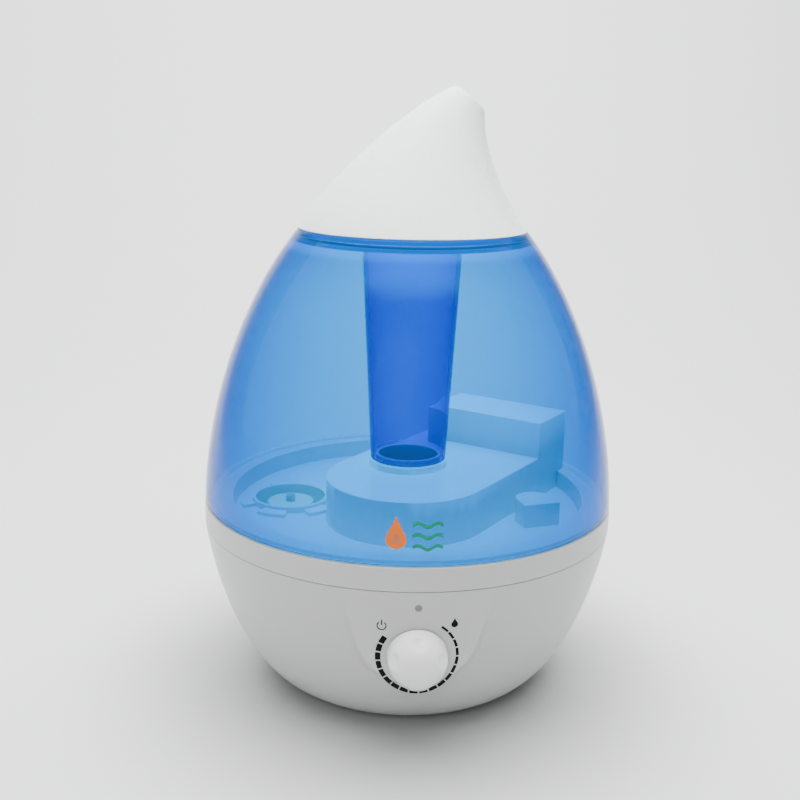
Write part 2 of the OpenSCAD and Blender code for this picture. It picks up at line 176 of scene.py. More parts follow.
def plastic(name, color, rough=0.3, vary=0.03, grain=900.0, grain_depth=0.00002, grain_strength=0.12,
            sss=0.0, coat=0.0, metallic=0.0, painted_light=None, stretch=(1, 1, 1), gloss=0.5):
    """Moulded plastic, rubber or metal: faint tone drift, uneven gloss and a fine surface grain.

    painted_light is the four shades of add_painted_light, painted light and shade given off as emission: on
    upright faces, on edges, on the floor and on higher tops.
    """
    mat, tree, bsdf, _ = new_material(name)
    vec = coords(tree, stretch)
    lo = tuple(max(0.0, c * (1 - vary)) for c in color)
    hi = tuple(min(1.0, c * (1 + vary)) for c in color)
    tree.links.new(two_tone(tree, noise_fac(tree, vec, 14.0, 4.0), lo, hi), bsdf.inputs["Base Color"])
    tree.links.new(mapped(tree, noise_fac(tree, vec, 60.0, 5.0), rough * 0.8, rough * 1.2),
                   bsdf.inputs["Roughness"])
    add_bump(tree, bsdf, noise_fac(tree, vec, grain, 2.0), grain_strength, grain_depth)
    bsdf.inputs["Metallic"].default_value = metallic
    bsdf.inputs["Specular IOR Level"].default_value = gloss
    if sss:
        bsdf.inputs["Subsurface Weight"].default_value = sss
        bsdf.inputs["Subsurface Scale"].default_value = 0.004
        bsdf.inputs["Subsurface Radius"].default_value = (1.0, 0.9, 0.8)
    # painted light: emission lighter on tops, with a painted highlight on rounded edges
    if painted_light:
        add_painted_light(tree, bsdf, *painted_light)
    if coat:
        bsdf.inputs["Coat Weight"].default_value = coat
        bsdf.inputs["Coat Roughness"].default_value = 0.06
    return mat


CLEAR_IOR = 1.15      # less than real plastic's, so that the wall's edges stay blue


def clear_plastic(name, absorb, density, rough=0.03, painted_glow=(0.0, 0.0, 0.0), upper=None):
    """See-through plastic: nearly clear faces with a faint painted glow, an emission that lifts the shade
    seen in the wall, the colour taken up in the wall.

    upper is (glow, start, full): more painted glow higher up, from the height start to the height full in
    metres.
    """
    mat, tree, bsdf, out = new_material(name)
    vec = coords(tree)
    tint = (0.96, 0.99, 1.0)
    lo = tuple(c * 0.985 for c in tint)
    tree.links.new(two_tone(tree, noise_fac(tree, vec, 9.0, 3.0), lo, tint), bsdf.inputs["Base Color"])
    tree.links.new(mapped(tree, noise_fac(tree, vec, 40.0, 4.0), rough * 0.7, rough * 1.4),
                   bsdf.inputs["Roughness"])
    add_bump(tree, bsdf, noise_fac(tree, vec, 26.0, 2.0), 0.05, 0.0004)
    bsdf.inputs["Transmission Weight"].default_value = 1.0
    bsdf.inputs["IOR"].default_value = CLEAR_IOR
    # painted light: a faint emission that lifts the shade in the wall
    bsdf.inputs["Emission Color"].default_value = (*painted_glow, 1)
    bsdf.inputs["Emission Strength"].default_value = 1.0
    # more painted light near the top, lifting the shade under the nozzle
    if upper:
        upper_glow, start, full = upper
        part = mapped(tree, up_and_height(tree)[1], 0.0, 1.0, start, full)
        tree.links.new(two_tone(tree, part, painted_glow, upper_glow), bsdf.inputs["Emission Color"])
    vol = tree.nodes.new("ShaderNodeVolumeAbsorption")
    vol.inputs["Color"].default_value = (*absorb, 1)
    vol.inputs["Density"].default_value = density
    tree.links.new(vol.outputs[0], out.inputs["Volume"])
    return mat


METAL = dict(metallic=1.0)
PLAIN = {
    "white_plastic": dict(color=(0.50, 0.515, 0.50), rough=0.34, vary=0.012, sss=0.12),
    "nozzle_white": dict(color=(0.86, 0.90, 0.90), rough=0.28, vary=0.012, sss=0.15),
    "knob_white": dict(color=(0.74, 0.76, 0.74), rough=0.12, vary=0.01, grain_strength=0.02, coat=0.8),
    # pale_blue, clear_rubber and cap_plastic carry painted light: emission shades for upright faces, edges,
    # the floor and tops
    "pale_blue": dict(color=(0.76, 0.84, 0.87), rough=0.16, vary=0.015,
                      painted_light=((0.0, 0.06, 0.03), (0.0, 0.78, 1.35), (0.0, 0.44, 0.66), (0.0, 0.66, 1.1))),
    "clear_rubber": dict(color=(0.45, 0.60, 0.66), rough=0.45, sss=0.3,
                         painted_light=((0.0, 0.40, 0.75), (0.0, 0.60, 1.0), (0.0, 0.62, 1.05), (0.0, 0.62, 1.05))),
    "cap_plastic": dict(color=(0.62, 0.74, 0.68), rough=0.42, vary=0.04,
                        painted_light=((0.0, 0.42, 0.36), (0.0, 0.62, 0.56), (0.0, 0.62, 0.52), (0.0, 0.62, 0.52))),
    "valve_plastic": dict(color=(0.62, 0.68, 0.66), rough=0.35),
    "float_white": dict(color=(0.78, 0.78, 0.74), rough=0.7, grain=350.0, grain_depth=0.0002,
                        grain_strength=0.5),
    "black_rubber": dict(color=(0.03, 0.03, 0.032), rough=0.62, vary=0.15, grain=500.0, grain_depth=0.00005,
                         grain_strength=0.3),
    "fan_black": dict(color=(0.022, 0.022, 0.024), rough=0.5, vary=0.1, grain=600.0, grain_depth=0.00004,
                      grain_strength=0.25),
    "part_black": dict(color=(0.04, 0.04, 0.045), rough=0.4, vary=0.1),
    "board_green": dict(color=(0.025, 0.16, 0.065), rough=0.35, vary=0.12, grain=300.0),
    "pot_blue": dict(color=(0.06, 0.12, 0.26), rough=0.4, vary=0.1),
    "led_clear": dict(color=(0.75, 0.78, 0.80), rough=0.1, vary=0.02, coat=0.4),
    "lens_grey": dict(color=(0.20, 0.20, 0.19), rough=0.25, vary=0.06, gloss=0.3),
    "magnet_grey": dict(color=(0.06, 0.06, 0.065), rough=0.5, vary=0.1),
    "core_grey": dict(color=(0.12, 0.12, 0.125), rough=0.55, vary=0.15, grain=700.0, grain_depth=0.0001,
                      grain_strength=0.4, stretch=(1, 1, 20)),
    "coil_tape": dict(color=(0.70, 0.50, 0.08), rough=0.4, vary=0.08, grain=400.0, grain_depth=0.00006,
                      grain_strength=0.3, stretch=(1, 1, 14)),
    "spring_steel": dict(color=(0.62, 0.63, 0.65), rough=0.25, vary=0.05, **METAL),
    "screw_steel": dict(color=(0.58, 0.59, 0.60), rough=0.32, vary=0.06, **METAL),
    "transducer_metal": dict(color=(0.72, 0.60, 0.36), rough=0.3, vary=0.06, **METAL),
    "clamp_metal": dict(color=(0.68, 0.69, 0.70), rough=0.3, vary=0.05, stretch=(1, 1, 8), **METAL),
    "heat_sink_metal": dict(color=(0.62, 0.63, 0.64), rough=0.36, vary=0.05, stretch=(1, 1, 12), **METAL),
    "print_black": dict(color=(0.004, 0.004, 0.005), rough=0.5, vary=0.1, gloss=0.08),
    "print_green": dict(color=(0.0, 0.22, 0.09), rough=0.4, vary=0.06),
    "print_orange": dict(color=(0.72, 0.15, 0.01), rough=0.4, vary=0.06),
}
CLEAR = {
    # painted_glow and upper are painted light: emission that lifts the shade in the walls, more of it near
    # their tops under the nozzle
    "tank_blue": dict(absorb=(0.0, 0.73, 0.895), density=1250.0, painted_glow=(0.0, 0.028, 0.075),
                      upper=((0.0, 0.12, 0.36), 0.2245, 0.2275)),
    "flue_blue": dict(absorb=(0.0, 0.75, 0.951), density=1900.0, rough=0.05,
                      upper=((0.0, 0.17, 0.20), 0.201, 0.209)),
}
M = {name: plastic(name, **look) for name, look in PLAIN.items()}
M |= {name: clear_plastic(name, **look) for name, look in CLEAR.items()}


# ---- Mesh helpers: everything is built in millimetres about the body's own axis ----

def place(verts):
    """Millimetres about the body's axis to metres in the row frame."""
    v = np.asarray(verts, dtype=float) * MM
    v[:, 1] += AXIS_Y
    return v


rebuilt = set()       # CAD nodes that a finer piece stands in for


def finish_piece(obj, body, replaces):
    bpy.context.scene.collection.objects.link(obj)
    bpy.context.view_layer.update()
    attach(obj, body)
    if replaces:
        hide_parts(*replaces)
        rebuilt.update(replaces)


def make(name, verts, faces, mat, body, replaces=(), sharp=35.0):
    """A piece that rides a body and stands in for CAD nodes. Edges sharper than sharp degrees stay crisp."""
    me = bpy.data.meshes.new(name)
    me.from_pydata([tuple(v) for v in place(verts)], [], faces)
    me.validate()
    me.materials.append(mat)
    me.shade_smooth()
    me.set_sharp_from_angle(angle=math.radians(sharp))
    finish_piece(bpy.data.objects.new(name, me), body, replaces)


def bez(p, t):
    """The point at t (0 to 1) of a cubic curve with the four control points p."""
    p = np.asarray(p, dtype=float)
    return (1 - t) ** 3 * p[0] + 3 * (1 - t) ** 2 * t * p[1] + 3 * (1 - t) * t * t * p[2] + t ** 3 * p[3]


def run(p, n):
    """n + 1 points along a cubic curve."""
    return [tuple(bez(p, i / n)) for i in range(n + 1)]


def fillet(loop, radius, steps=4):
    """Rounds the corners of a closed (r, z) outline. Corners flatter than 25 degrees stay."""
    out = []
    n = len(loop)
    for i in range(n):
        before, c, after = (np.array(loop[k % n], dtype=float) for k in (i - 1, i, i + 1))
        u, v = before - c, after - c
        lu, lv = np.linalg.norm(u), np.linalg.norm(v)
        if lu < 1e-6 or lv < 1e-6:
            continue
        cosine = np.dot(u, v) / (lu * lv)
        turn = 180 - math.degrees(math.acos(max(-1, min(1, cosine))))
        if turn < 25:
            out.append(tuple(c))
            continue
        d = min(radius, lu * 0.45, lv * 0.45)
        p0, p1 = c + u / lu * d, c + v / lv * d
        for k in range(steps + 1):
            t = k / steps
            out.append(tuple((1 - t) ** 2 * p0 + 2 * (1 - t) * t * c + t * t * p1))
    return out


def circle(r, z, cols):
    turn = 2 * math.pi / cols
    return [(r * math.cos(j * turn), r * math.sin(j * turn), z) for j in range(cols)]


def ring_faces(count, cols, closed=True, first=0):
    """Quads between each ring of points and the next, and from the last to the first ring when closed."""
    faces = []
    for i in range(count if closed else count - 1):
        a, b = first + i * cols, first + (i + 1) % count * cols
        for j in range(cols):
            m = (j + 1) % cols
            faces.append((a + j, a + m, b + m, b + j))
    return faces


def outward(verts, faces):
    """The same faces, turned so that the solid's volume is positive."""
    v = np.asarray(verts, dtype=float)
    tri = np.array([(f[0], f[i], f[i + 1]) for f in faces for i in range(1, len(f) - 1)])
    vol = np.einsum("ij,ij->i", v[tri[:, 0]], np.cross(v[tri[:, 1]], v[tri[:, 2]])).sum()
    return [tuple(reversed(f)) for f in faces] if vol < 0 else faces


def ring_piece(name, loop, mat, body, replaces, radius, cols, sharp=35.0):
    """A closed (r, z) outline with its corners rounded, turned about the body's axis."""
    if radius:
        loop = fillet(loop, radius)
    verts = [p for r, z in loop for p in circle(r, z, cols)]
    make(name, verts, outward(verts, ring_faces(len(loop), cols)), mat, body, replaces, sharp)


ROUNDED_ANGLE = math.radians(28.0)      # refine rounds the edges sharper than this


def refine(node, name, mat, body, width, segments):
    """A CAD node's own shape with small rounds on its edges."""
    src = frame["nodes"][node]
    me = src.data.copy()
    me.name = name
    me.transform(src.matrix_world)
    me.materials.clear()
    me.materials.append(mat)
    bm = bmesh.new()
    bm.from_mesh(me)
    bmesh.ops.remove_doubles(bm, verts=bm.verts, dist=2e-6)
    bmesh.ops.dissolve_limit(bm, angle_limit=math.radians(0.6), verts=bm.verts, edges=bm.edges)
    bm.to_mesh(me)
    bm.free()
    for p in me.polygons:
        p.material_index = 0
    me.shade_smooth()
    me.set_sharp_from_angle(angle=ROUNDED_ANGLE)
    obj = bpy.data.objects.new(name, me)
    rounds = obj.modifiers.new("edge_rounds", "BEVEL")
    rounds.width = width * MM
    rounds.segments = segments
    rounds.limit_method = "ANGLE"
    rounds.angle_limit = ROUNDED_ANGLE
    rounds.harden_normals = True
    rounds.use_clamp_overlap = True
    finish_piece(obj, body, (node,))


def paint(node, mat):
    obj = frame["nodes"][node]
    obj.data.materials.clear()
    obj.data.materials.append(mat)
    for p in obj.data.polygons:
        p.material_index = 0


# ---- Tank ----

BULGE_R = 0.8305 * BODY_R      # control radius of both curves, two thirds of the way up
TANK_OUT = [(BODY_R, SEAM_Z + SEAM_GAP), (BODY_R - 1.7, SEAM_Z + 0.326 * TANK_H),
            (BULGE_R, SEAM_Z + 0.7253 * TANK_H), (NECK_R, NECK_Z)]
TANK_IN = [(BODY_R - WALL, SEAM_Z + SEAM_GAP), (BODY_R - 4.1, SEAM_Z + 0.324 * TANK_H),
           (BULGE_R - 1.9, SEAM_Z + 0.715 * TANK_H), (NECK_R + 0.2, NECK_Z - 4.1)]
NECK_IN, RECESS_R, LID_HOLE = 2.2, 53.0, 22.6      # width of the neck's rim, sunk lid and its opening
EDGE = [(0.12, 0.25), (0.5, 0.0)]                  # the wall's rounded foot, as steps in and up

outer, inner = run(TANK_OUT, 56), run(TANK_IN, 56)
outer_foot = [(outer[0][0] - r, outer[0][1] + z) for r, z in EDGE]
inner_foot = [(inner[0][0] + r, inner[0][1] + z) for r, z in EDGE]
neck = fillet([outer[-2], (NECK_R, NECK_Z), (NECK_R - NECK_IN, NECK_Z), (RECESS_R, NECK_Z - 1.6),
               (RECESS_R, LID_Z), (LID_HOLE, LID_Z), (LID_HOLE, LID_Z - WALL), (54.4, LID_Z - WALL),
               (55.6, NECK_Z - 4.1), inner[-2]], 0.5)
tank_loop = outer_foot[::-1] + outer[1:-1] + neck[1:-1] + inner[-2:0:-1] + inner_foot
ring_piece("tank_wall", tank_loop, M["tank_blue"], "tank", ("tank_shell",), radius=0, cols=288, sharp=50)

(_, _, flue_foot_z), (flue_top_r, _, flue_top_z) = box_mm("flue_tube")
FLUE_FOOT_R, FLUE_WALL = 19.5, 2.2
flue_loop = [(FLUE_FOOT_R - FLUE_WALL, flue_foot_z), (FLUE_FOOT_R, flue_foot_z),
             (flue_top_r, flue_top_z), (flue_top_r - FLUE_WALL, flue_top_z)]
ring_piece("flue_wall", flue_loop, M["flue_blue"], "tank", ("flue_tube",), radius=0.6, cols=160)

refine("tank_bottom", "tank_floor", M["pale_blue"], "tank", 0.9, 3)
refine("filler_cap", "filler_cap_body", M["cap_plastic"], "cap", 0.35, 2)


# ---- Nozzle ----

NOZ_Z = NECK_Z + 0.5
NOZ_H = box_mm("nozzle_shell")[1][2] - NOZ_Z
NOZ_WALL = 2.2
MOUTH_R, LEAN = 9.0, 26.8      # the mouth's radius and how far the tip leans over to the right
LEFT = [(-NECK_R, 0), (-0.8 * NECK_R, 21.3), (1, NOZ_H - 5.5), (LEAN - 0.77 * MOUTH_R, NOZ_H)]
RIGHT = [(NECK_R, 0), (44, 15.8), (33, 39.6), (LEAN + 0.77 * MOUTH_R, NOZ_H - 1.28 * MOUTH_R)]


def drop_ring(t, inset, cols, along=0.0):
    """A circle between the left and right side curves at t, made smaller and moved along its own axis."""
    left, right = bez(LEFT, t), bez(RIGHT, t)
    middle, half = (left + right) / 2, np.linalg.norm(right - left) / 2
    across = (right - left) / (2 * half)
    out = np.array([-across[1], across[0]])
    ring = []
    for j in range(cols):
        a = 2 * math.pi * j / cols
        x, z = middle + (half - inset) * math.cos(a) * across + out * along
        ring.append((x, (half - inset) * math.sin(a), NOZ_Z + z))
    return ring


def nozzle_mesh(cols=160, rows=90, lip=0.9):
    rings = [drop_ring(0.0, NOZ_WALL, cols), drop_ring(0.0, 0.25, cols), drop_ring(0.004, 0.0, cols)]
    rings += [drop_ring(i / rows, 0.0, cols) for i in range(1, rows)]
    for k in range(5):                            # rounded lip between the outer and inner skins
        a = math.pi * k / 4
        rings.append(drop_ring(1.0, NOZ_WALL / 2 * (1 - math.cos(a)), cols, lip * (math.sin(a) - 1)))
    rings += [drop_ring(i / rows, NOZ_WALL, cols) for i in range(rows - 2, 0, -1)]
    verts = [v for ring in rings for v in ring]
    return verts, outward(verts, ring_faces(len(rings), cols))


PLUG_IN, PLUG_OUT, FLANGE_R = 49.8, 52.0, 55.0     # the plug that sits in the neck and the flange above it
plug_loop = [(PLUG_IN, LID_Z + 0.7), (PLUG_OUT, LID_Z + 0.7), (PLUG_OUT, NOZ_Z), (FLANGE_R, NOZ_Z + 0.02),
             (FLANGE_R, NOZ_Z + 1.7), (PLUG_IN, NOZ_Z + 1.7)]
make("nozzle_body", *nozzle_mesh(), M["nozzle_white"], "nozzle", ("nozzle_shell",), sharp=48)
ring_piece("nozzle_spigot", plug_loop, M["nozzle_white"], "nozzle", (), radius=0.4, cols=192)
refine("mist_guide", "mist_guide_body", M["white_plastic"], "guide", 0.4, 2)


# ---- Base ----

PANEL_Z0, PANEL_R0 = 34.0, 100.8                  # low end of the panel, which leans out to BODY_R above
TAN_T = (BODY_R - PANEL_R0) / (PART_Z - PANEL_Z0)
TILT = math.atan(TAN_T)
CUP_OUT = [(BODY_R - 0.1, PART_Z), (BODY_R - 5, 50.2), (0.787 * BODY_R, 6), (60, 2)]
CUP_IN = [(BODY_R - 2.9, PART_Z), (BODY_R - 7.6, 51.4), (0.787 * BODY_R - 2, 9.6), (59, 7.2)]
SHIELD_R, SHIELD_Z = 30.5, 64.5                   # the shield's round lower end
SIDE_Z, SIDE_LOW, SIDE_HIGH = 58.9, 30.0, 35.0    # its half width above the round end, low and at the top
PANEL_ANGLE = 27.0                                # the panel lies within this angle of the front, in degrees
FINE_STEP, COARSE_STEP = 0.45, 2.25


def panel_radius(z):
    return PANEL_R0 + (z - PANEL_Z0) * TAN_T


def shield_depth(x, z):
    """Distance in millimetres inside the panel's shield outline, negative outside it."""
    round_end = SHIELD_R - math.hypot(x, z - SHIELD_Z)
    above = z - SIDE_Z
    if above <= 0:
        return round_end
    slope = (SIDE_HIGH - SIDE_LOW) / (PART_Z - SIDE_Z)
    side = (SIDE_LOW + slope * above - abs(x)) / math.sqrt(1 + slope * slope)
    return max(round_end, min(side, above))


def smooth(x):
    x = max(0.0, min(1.0, x))
    return x * x * (3 - 2 * x)


def skin_radius(x, z, cup_r):
    """Outer radius of the housing, with the raised panel blended in along a soft crease."""
    rise = max(0.0, panel_radius(z) - cup_r)
    d = shield_depth(x, z)
    width = 1.2 + 0.5 * rise
    return cup_r + rise * smooth((d + 0.2) / width)


def housing_mesh(rows=120, inner_rows=40):
    angles = [-180.0]
    while angles[-1] < 180.0 - COARSE_STEP - 1e-6:
        fine = -PANEL_ANGLE <= angles[-1] < PANEL_ANGLE
        angles.append(angles[-1] + (FINE_STEP if fine else COARSE_STEP))
    verts = []
    for i in range(rows + 1):
        r, z = bez(CUP_OUT, i / rows)
        for a in angles:
            t = math.radians(a)
            skin = r - 0.05 if i == 0 else r
            if abs(a) <= PANEL_ANGLE and i > 0:
                for _ in range(2):                # the second pass uses the x of the raised skin
                    skin = skin_radius(skin * math.sin(t), z, r)
            verts.append((skin * math.sin(t), -skin * math.cos(t), z))
    floor = [(58, 2), (58, 4.7), (48, 4.7), (48, 7.2)]
    wall = [tuple(bez(CUP_IN, 1 - i / inner_rows)) for i in range(inner_rows)]
    rim = [(100, 88), (100, 92), (102.2, 92), (102.2, PART_Z)]
    for r, z in floor + wall + rim:
        verts += [(r * math.sin(math.radians(a)), -r * math.cos(math.radians(a)), z) for a in angles]
    return verts, outward(verts, ring_faces(len(verts) // len(angles), len(angles)))


make("housing_skin", *housing_mesh(), M["white_plastic"], "base", ("lower_housing", "control_panel"),
     sharp=40)
refine("base_tray", "tray_body", M["white_plastic"], "base", 0.45, 2)
refine("cord_gland", "cord_grommet", M["black_rubber"], "base", 0.5, 3)
refine("bottom_cover", "bottom_cover_body", M["white_plastic"], "base", 0.3, 2)
refine("rubber_feet", "foot_pads", M["black_rubber"], "base", 0.5, 3)


# ---- Control panel print, lamp and knob ----

def on_panel(x, z, lift):
    r = panel_radius(z) + lift
    return (x, -math.sqrt(r * r - x * x), z)


def on_tank(x, z, lift):
    lo, hi = 0.0, 1.0
    for _ in range(30):
        mid = (lo + hi) / 2
        lo, hi = (mid, hi) if bez(TANK_OUT, mid)[1] < z else (lo, mid)
    r = bez(TANK_OUT, lo)[0] + lift
    return (x, -math.sqrt(r * r - x * x), z)


def print_patch(name, outlines, mat, surface=on_panel, body="base", lift=0.07, depth=0.25):
    """Thin solid marks that follow a surface. Each outline is a strip: two rows of (x, z) points."""
    verts, faces = [], []
    for lower, upper in outlines:
        n, patch = len(lower), []
        o = 2 * n                     # from a point on the face to the one below it
        for level in (lift, lift - depth):
            for row in (lower, upper):
                patch += [surface(x, z, level) for x, z in row]
        sides = []
        for i in range(n - 1):
            a, b, c, d = i, i + 1, n + i + 1, n + i
            sides += [(a, b, c, d), (a + o, d + o, c + o, b + o), (a, a + o, b + o, b), (d, c, c + o, d + o)]
        sides += [(0, n, 3 * n, 2 * n), (n - 1, 3 * n - 1, 4 * n - 1, 2 * n - 1)]
        faces += [tuple(len(verts) + i for i in f) for f in outward(patch, sides)]
        verts += patch
    make(name, verts, faces, mat, body, sharp=30)


KNOB_Z = 54.0
KNOB_Y = panel_radius(KNOB_Z)


def arc_strip(r0, r1, a0, a1, cx=0.0, cz=KNOB_Z, steps=6):
    """A stroke between two radii, from angle a0 to a1 in degrees."""
    angles = [math.radians(a0 + (a1 - a0) * k / steps) for k in range(steps + 1)]
    return [[(cx + r * math.cos(a), cz + r * math.sin(a)) for a in angles] for r in (r0, r1)]


def bar(x0, z0, x1, z1, w, steps=3):
    """A straight stroke of width w."""
    dx, dz = x1 - x0, z1 - z0
    length = math.hypot(dx, dz)
    nx, nz = -dz / length * w / 2, dx / length * w / 2
    along = [k / steps for k in range(steps + 1)]
    return [[(x0 + dx * t + side * nx, z0 + dz * t + side * nz) for t in along] for side in (-1, 1)]


def drop_strip(cx, cz, r, h, steps=14):
    """A water-drop mark: round below, pointed above. r is its round end's radius, h the height of its tip."""
    left, right = [], []
    shoulder = 0.35 * r                   # above this height the sides run to the tip
    shoulder_w = math.sqrt(r * r - shoulder * shoulder)
    for k in range(steps + 1):
        z = -r + (r + h) * k / steps
        if z < shoulder:
            w = math.sqrt(max(0.0, r * r - z * z))
        else:
            w = shoulder_w * max(0.0, (h - z) / (h - shoulder)) ** 1.15
        w = max(w, 0.02)
        left.append((cx - w, cz + z))
        right.append((cx + w, cz + z))
    return right, left


def wave_strip(x0, x1, z, height, w, turns, steps=40):
    """A wavy stroke of width w."""
    xs = [x0 + (x1 - x0) * k / steps for k in range(steps + 1)]
    row = [z + height * math.sin(2 * math.pi * turns * k / steps) for k in range(steps + 1)]
    return [(x, v - w / 2) for x, v in zip(xs, row)], [(x, v + w / 2) for x, v in zip(xs, row)]


# The dial's dashes run anticlockwise from the upper left round the bottom to the upper right, ever thinner
START, END, COUNT = 145.0, 56.0 + 360.0, 19
DIAL_R, DASH_GAP = 18.9, 1.1
step = (END - START) / COUNT
dashes = []
for k in range(COUNT):
    a0 = START + k * step
    width = 2.6 - 1.5 * k / (COUNT - 1)
    dashes.append(arc_strip(DIAL_R - width, DIAL_R, a0 + DASH_GAP, a0 + step - DASH_GAP))
print_patch("dial_marks", dashes, M["print_black"])

POWER_X, POWER_Z, POWER_R, STROKE = -16.2, 69.3, 2.0, 0.5
power_ring = arc_strip(POWER_R - STROKE / 2, POWER_R + STROKE / 2, 125, 415, POWER_X, POWER_Z, 16)
power_bar = bar(POWER_X, POWER_Z + 0.3, POWER_X, POWER_Z + 3.1, STROKE)
print_patch("panel_icons", [power_ring, power_bar, drop_strip(16.4, 69.9, 1.55, 3.1)], M["print_black"])

print_patch("tank_mark_drop", [drop_strip(-10.6, 110.6, 4.6, 10.4)], M["print_orange"], on_tank, "tank")
print_patch("tank_mark_waves", [wave_strip(-3.4, 10.0, z, 0.9, 1.5, 1.5) for z in (107.0, 112.0, 117.0)],
            M["print_green"], on_tank, "tank")

LED_Z = 78.5
LED_Y = panel_radius(LED_Z)


def panel_point(cy, cz, p):
    """From the frame of a part that stands on the panel: x right, y up along the panel, z out of it."""
    x, y, z = p
    c, s = math.cos(TILT), math.sin(TILT)
    return (x, -cy - y * s - z * c, cz + y * c - z * s)


KNOB_R, KNOB_H = 14.0, 14.5
KNOB_SIDE = [(KNOB_R, 0.5), (KNOB_R, 9), (KNOB_R * 0.72, KNOB_H - 0.2), (0, KNOB_H)]
SCOOP_FROM_AXIS, SCOOP_HEIGHT = 18.8, 13.5       # five balls that hollow the crown leave a raised star
SCOOPS = [np.array((SCOOP_FROM_AXIS * math.cos(math.radians(a)), SCOOP_FROM_AXIS * math.sin(math.radians(a)),
                    SCOOP_HEIGHT)) for a in range(18, 378, 72)]
SCOOP_R = 9.5


def scooped(p, n):
    """A dome point moved in along its normal to the floor of any scoop over it, with a soft brink."""
    best = 0.0
    for c in SCOOPS:
        d = p - c
        b = -np.dot(d, n)                     # along the inward normal the ball is left at b + root
        disc = b * b - (np.dot(d, d) - SCOOP_R * SCOOP_R)
        if disc > 0:
            f = np.dot(d, n) + math.sqrt(disc)
        else:
            f = -(math.sqrt(np.dot(d, d)) - SCOOP_R)
        f = min(f, 6.0)
        soft = 0.5 * (f + math.sqrt(f * f + 0.05))
        best = max(best, soft if f > -2.5 else 0.0)
    return p - n * best


def knob_mesh(rows=110, cols=240):
    profile = [bez(KNOB_SIDE, i / rows) for i in range(rows + 1)]
    dome = []
    for i in range(rows):
        r, z = profile[i]
        t = profile[i + 1] - profile[max(i - 1, 0)]
        t /= np.linalg.norm(t)
        for j in range(cols):
            a = 2 * math.pi * j / cols
            p = np.array([r * math.cos(a), r * math.sin(a), z])
            dome.append(scooped(p, np.array([t[1] * math.cos(a), t[1] * math.sin(a), -t[0]])))
    top = len(dome)
    dome.append((0, 0, KNOB_H))
    hollow = [(12.2, 0.5), (12.0, 5.0), (6.9, 6.4), (6.6, 3.7), (3.3, 3.7), (3.3, 10.2)]
    start = len(dome)
    for r, z in hollow:
        dome += circle(r, z, cols)
    bottom = len(dome)
    dome.append((0, 0, hollow[-1][1]))

    faces = ring_faces(rows, cols, closed=False)
    inside = ring_faces(len(hollow), cols, closed=False, first=start)
    faces += [tuple(reversed(f)) for f in inside]
    for j in range(cols):
        m = (j + 1) % cols
        faces.append((top - cols + j, top - cols + m, top))
        faces.append((m, j, start + j, start + m))
        faces.append((bottom - cols + m, bottom - cols + j, bottom))
    verts = [panel_point(KNOB_Y, KNOB_Z, p) for p in dome]
    return verts, outward(verts, faces)


make("knob_dome", *knob_mesh(), M["knob_white"], "control", ("knob",), sharp=50)


def lens_mesh(r=1.68, rise=0.35, depth=1.2, rows=8, cols=48):
    points = [(0, 0, rise)]
    for k in range(1, rows + 1):
        a = k * math.pi / 2 / rows
        points += circle(r * math.sin(a), rise * math.cos(a), cols)
    points += circle(r, -depth, cols)
    last = len(points) - cols
    faces = [(0, 1 + (j + 1) % cols, 1 + j) for j in range(cols)]
    faces += ring_faces(rows + 1, cols, closed=False, first=1)
    faces.append(tuple(last + j for j in range(cols)))
    verts = [panel_point(LED_Y, LED_Z, p) for p in points]
    return verts, outward(verts, faces)


make("lamp_lens", *lens_mesh(), M["lens_grey"], "base", ("led_lens",), sharp=40)


# ---- Every other part keeps its CAD shape and takes its own material ----

for part in record["subparts"]:
    if part["node"] not in rebuilt:
        paint(part["node"], M[part["material_slot"]])


# ---- Floor, light and camera ----

# PAINTED_SHADE is the grey of the painted shade on the paper
PAPER_A, PAPER_B, PAINTED_SHADE = (0.70, 0.705, 0.71), (0.72, 0.725, 0.73), (0.30, 0.30, 0.305)
BEND_Y, BEND_R, WALL_TOP = 1.0, 0.8, 2.4
HALF_WIDTH, FRONT_Y = 3.5, -2.5


def paper_material():
    """Pale paper with painted shade: greyer to the left, to the right and in front, which darkens the light
    it sends back onto the object, and a painted contact shadow close round the base.
    """
    mat, tree, bsdf, _ = new_material("studio_floor")
    vec = coords(tree)
    x, y = axis_of(tree, vec, "X"), axis_of(tree, vec, "Y")
    away = math_node(tree, "MULTIPLY_ADD", y, -0.36, math_node(tree, "ABSOLUTE", x))
    past_side = mapped(tree, away, 0.0, 1.0, 0.30, 0.75, "SMOOTHSTEP")
    past_front = mapped(tree, y, 0.0, 1.0, -0.12, -0.30, "SMOOTHSTEP")
    reach = tree.nodes.new("ShaderNodeVectorMath")
    reach.operation = "LENGTH"
    tree.links.new(vec, reach.inputs[0])
    # painted contact shadow: the paper darker close round the base
    painted_contact_shadow = mapped(tree, reach.outputs["Value"], 0.0, 0.6, 0.19, 0.09, "SMOOTHSTEP")
    grey = math_node(tree, "MAXIMUM", math_node(tree, "MAXIMUM", past_side, past_front), painted_contact_shadow)
    shade = tree.nodes.new("ShaderNodeMix")
    shade.data_type = "RGBA"
    shade.inputs[7].default_value = (*PAINTED_SHADE, 1)
    tree.links.new(grey, shade.inputs[0])
    tree.links.new(two_tone(tree, noise_fac(tree, vec, 6.0), PAPER_A, PAPER_B), shade.inputs[6])
    tree.links.new(shade.outputs[2], bsdf.inputs["Base Color"])
    bsdf.inputs["Roughness"].default_value = 0.85
    return mat


